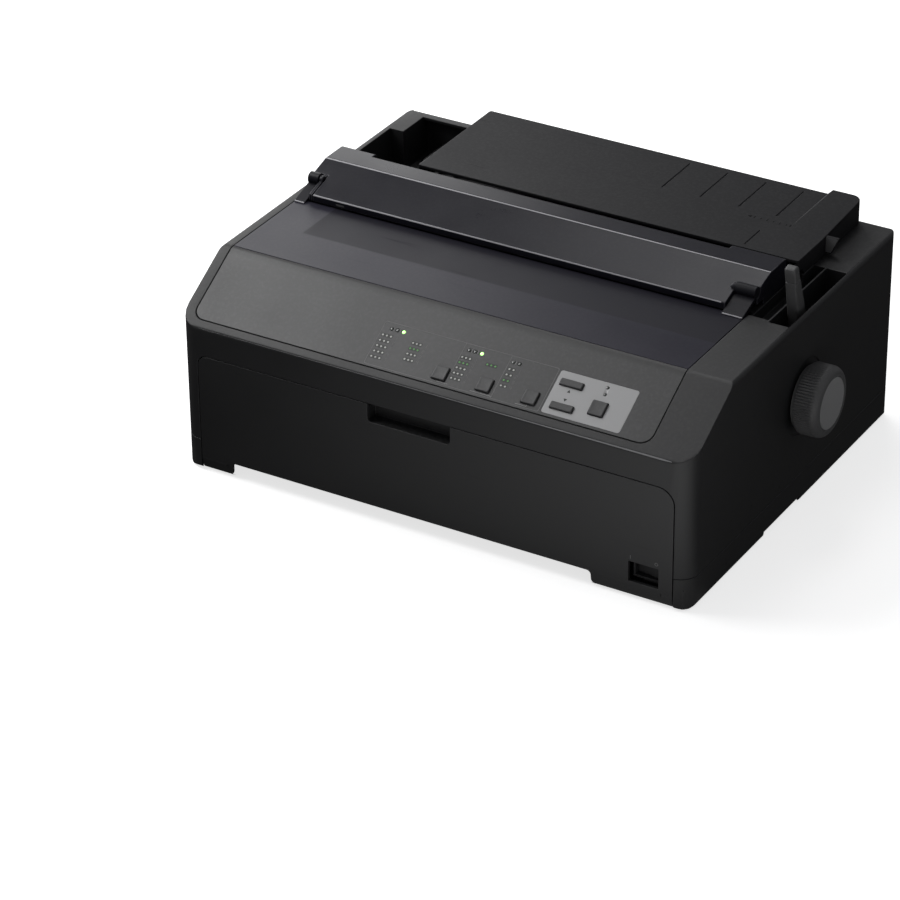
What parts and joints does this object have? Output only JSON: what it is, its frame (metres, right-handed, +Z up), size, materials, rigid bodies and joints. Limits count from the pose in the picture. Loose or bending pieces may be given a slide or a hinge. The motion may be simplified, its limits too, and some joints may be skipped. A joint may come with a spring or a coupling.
{
  "type": "dot matrix printer",
  "caption": "Desktop impact printer with sloping control panel, hinged smoked lid, lift-off paper cover, rear sheet guide, fold-down front cover, feed knob and push tractor.",
  "frame": {"origin": "on the ground under the middle of the whole outline, feed knob included", "axes": "+X to the printer's right as its user faces it, +Y to the back, +Z up"},
  "size_m": [0.429, 0.318, 0.1875],
  "materials": {
    "black_case": "fine grained black ABS",
    "grey_panel": "fine grained dark grey ABS",
    "smoke_lid": "smooth smoky dark plastic",
    "key_grey": "moulded dark grey",
    "silver_label": "satin silver film",
    "lamp": "clear tinted lamp",
    "rubber": "soft black rubber",
    "steel": "ground steel",
    "sheet_steel": "zinc plated sheet",
    "gear_white": "natural acetal",
    "brass": "turned brass",
    "motor": "black lacquered can",
    "inner_black": "plain black moulding",
    "lever_green": "moulded green",
    "circuit": "green solder mask",
    "head_alloy": "cast and blackened",
    "belt": "toothed belt",
    "supply": "brown laminate"
  },
  "bodies": {
    "case": {"lower_case": "black_case", "upper_case": "black_case", "panel_bezel": "grey_panel", "panel_label": "silver_label", "panel_board": "circuit", "status_lights": "lamp", "rubber_feet": "rubber", "case_screws": "steel", "left_frame": "sheet_steel", "right_frame": "sheet_steel", "base_frame": "sheet_steel", "platen_bushes": "gear_white", "idler_studs": "steel", "feed_motor": "motor", "tractor_support_shaft": "steel", "paper_ramp": "inner_black", "carriage_shaft": "steel", "timing_belt": "belt", "carriage_motor": "motor", "ribbon_cartridge": "inner_black", "main_board": "circuit", "interface_sockets": "sheet_steel", "power_supply": "supply", "power_inlet": "inner_black", "rocker_housing": "inner_black"},
    "front_door": {"front_cover": "black_case"},
    "rocker": {"power_rocker": "inner_black"},
    "font_key": {"font_button": "key_grey"},
    "pitch_key": {"pitch_button": "key_grey"},
    "tear_off_key": {"tear_off_button": "key_grey"},
    "load_key": {"load_button": "key_grey"},
    "feed_key": {"feed_button": "key_grey"},
    "pause_key": {"pause_button": "key_grey"},
    "lid": {"smoked_lid": "smoke_lid"},
    "ridge": {"paper_cover": "smoke_lid"},
    "tension": {"tension_rollers": "rubber"},
    "guide": {"sheet_guide": "grey_panel"},
    "platen": {"platen_roller": "rubber", "platen_shaft": "steel", "feed_knob": "key_grey", "platen_gear": "gear_white"},
    "idler_a": {"idler_gears_a": "gear_white"},
    "idler_b": {"idler_gears_b": "gear_white"},
    "tractor_drive": {"tractor_shaft": "steel", "tractor_gear": "gear_white"},
    "pinion": {"feed_pinion": "brass"},
    "tractor_left": {"left_tractor": "inner_black", "left_pin_belt": "gear_white"},
    "tractor_right": {"right_tractor": "inner_black", "right_pin_belt": "gear_white"},
    "flap_left": {"left_tractor_flap": "key_grey"},
    "flap_right": {"right_tractor_flap": "key_grey"},
    "lock_left": {"left_lock_lever": "lever_green"},
    "lock_right": {"right_lock_lever": "lever_green"},
    "print_carriage": {"carriage": "inner_black", "print_head": "head_alloy"},
    "drive_pulley": {"motor_pulley": "steel"},
    "free_pulley": {"idler_pulley": "steel"},
    "ribbon_wheel": {"ribbon_knob": "key_grey"},
    "paper_release": {"release_lever": "key_grey"}
  },
  "joints": [
    {"name": "front_cover_hinge", "type": "hinge", "parent": "case", "child": "front_door", "pos_m": [-0.011, -0.1558, 0.01], "axis": [1, 0, 0], "range_deg": [0, 90]},
    {"name": "power_rocker_tilt", "type": "hinge", "parent": "case", "child": "rocker", "pos_m": [0.1575, -0.143, 0.0216], "axis": [0, 0, 1], "range_deg": [0, 18]},
    {"name": "font_press", "type": "slide", "parent": "case", "child": "font_key", "axis": [0, 0.509, -0.8607], "range_m": [0, 0.001], "stiffness_N_per_m": 300},
    {"name": "pitch_press", "type": "slide", "parent": "case", "child": "pitch_key", "axis": [0, 0.509, -0.8607], "range_m": [0, 0.001], "stiffness_N_per_m": 300},
    {"name": "tear_off_press", "type": "slide", "parent": "case", "child": "tear_off_key", "axis": [0, 0.509, -0.8607], "range_m": [0, 0.001], "stiffness_N_per_m": 300},
    {"name": "load_press", "type": "slide", "parent": "case", "child": "load_key", "axis": [0, 0.509, -0.8607], "range_m": [0, 0.001], "stiffness_N_per_m": 300},
    {"name": "feed_press", "type": "slide", "parent": "case", "child": "feed_key", "axis": [0, 0.509, -0.8607], "range_m": [0, 0.001], "stiffness_N_per_m": 300},
    {"name": "pause_press", "type": "slide", "parent": "case", "child": "pause_key", "axis": [0, 0.509, -0.8607], "range_m": [0, 0.001], "stiffness_N_per_m": 300},
    {"name": "lid_hinge", "type": "hinge", "parent": "ridge", "child": "lid", "pos_m": [-0.011, 0.005, 0.1606], "axis": [-1, 0, 0], "range_deg": [0, 95]},
    {"name": "paper_cover_lift", "type": "slide", "parent": "case", "child": "ridge", "axis": [0, 0, 1], "range_m": [0, 0.06]},
    {"name": "tension_roll", "type": "hinge", "parent": "ridge", "child": "tension", "pos_m": [-0.011, 0.0406, 0.1572], "axis": [1, 0, 0], "continuous": true},
    {"name": "sheet_guide_hinge", "type": "hinge", "parent": "case", "child": "guide", "pos_m": [-0.011, 0.066, 0.156], "axis": [1, 0, 0], "range_deg": [0, 50]},
    {"name": "platen_turn", "type": "hinge", "parent": "case", "child": "platen", "pos_m": [-0.011, 0.01, 0.087], "axis": [1, 0, 0], "continuous": true},
    {"name": "idler_a_turn", "type": "hinge", "parent": "case", "child": "idler_a", "pos_m": [-0.181, -0.03327, 0.06599], "axis": [1, 0, 0], "continuous": true},
    {"name": "idler_b_turn", "type": "hinge", "parent": "case", "child": "idler_b", "pos_m": [-0.181, -0.06574, 0.05022], "axis": [1, 0, 0], "continuous": true},
    {"name": "tractor_turn", "type": "hinge", "parent": "case", "child": "tractor_drive", "pos_m": [-0.011, -0.09552, 0.03576], "axis": [1, 0, 0], "continuous": true},
    {"name": "pinion_turn", "type": "hinge", "parent": "case", "child": "pinion", "pos_m": [-0.181, -0.01972, 0.04252], "axis": [1, 0, 0], "continuous": true},
    {"name": "left_tractor_slide", "type": "slide", "parent": "case", "child": "tractor_left", "axis": [1, 0, 0], "range_m": [-0.01, 0.01]},
    {"name": "left_flap_hinge", "type": "hinge", "parent": "tractor_left", "child": "flap_left", "pos_m": [-0.15045, -0.11052, 0.04526], "axis": [0, -1, 0], "range_deg": [0, 100]},
    {"name": "left_lock_turn", "type": "hinge", "parent": "tractor_left", "child": "lock_left", "pos_m": [-0.13965, -0.12552, 0.03576], "axis": [1, 0, 0], "range_deg": [-60, 0]},
    {"name": "right_tractor_slide", "type": "slide", "parent": "case", "child": "tractor_right", "axis": [1, 0, 0], "range_m": [-0.01, 0.01]},
    {"name": "right_flap_hinge", "type": "hinge", "parent": "tractor_right", "child": "flap_right", "pos_m": [0.11245, -0.11052, 0.04526], "axis": [0, 1, 0], "range_deg": [0, 100]},
    {"name": "right_lock_turn", "type": "hinge", "parent": "tractor_right", "child": "lock_right", "pos_m": [0.10165, -0.12552, 0.03576], "axis": [1, 0, 0], "range_deg": [-60, 0]},
    {"name": "carriage_run", "type": "slide", "parent": "case", "child": "print_carriage", "axis": [1, 0, 0], "range_m": [-0.115, 0.115]},
    {"name": "drive_pulley_turn", "type": "hinge", "parent": "case", "child": "drive_pulley", "pos_m": [0.1165, -0.063, 0.061], "axis": [0, 0, 1], "range_deg": [-780, 780]},
    {"name": "free_pulley_turn", "type": "hinge", "parent": "case", "child": "free_pulley", "pos_m": [-0.1685, -0.063, 0.061], "axis": [0, 0, 1], "range_deg": [-780, 780]},
    {"name": "ribbon_knob_turn", "type": "hinge", "parent": "case", "child": "ribbon_wheel", "pos_m": [-0.135, -0.074, 0.12], "axis": [0, 0, 1], "continuous": true},
    {"name": "release_lever_turn", "type": "hinge", "parent": "case", "child": "paper_release", "pos_m": [0.1815, 0.027, 0.101], "axis": [1, 0, 0], "range_deg": [-35, 0]}
  ],
  "couplings": [
    {"joint": "idler_a_turn", "follows": "platen_turn", "ratio": -1.6667},
    {"joint": "idler_b_turn", "follows": "platen_turn", "ratio": 1.6667},
    {"joint": "tractor_turn", "follows": "platen_turn", "ratio": -2},
    {"joint": "pinion_turn", "follows": "platen_turn", "ratio": 3.3333},
    {"joint": "drive_pulley_turn", "follows": "carriage_run", "rad_per_m": 114.94},
    {"joint": "free_pulley_turn", "follows": "carriage_run", "rad_per_m": 114.94}
  ]
}
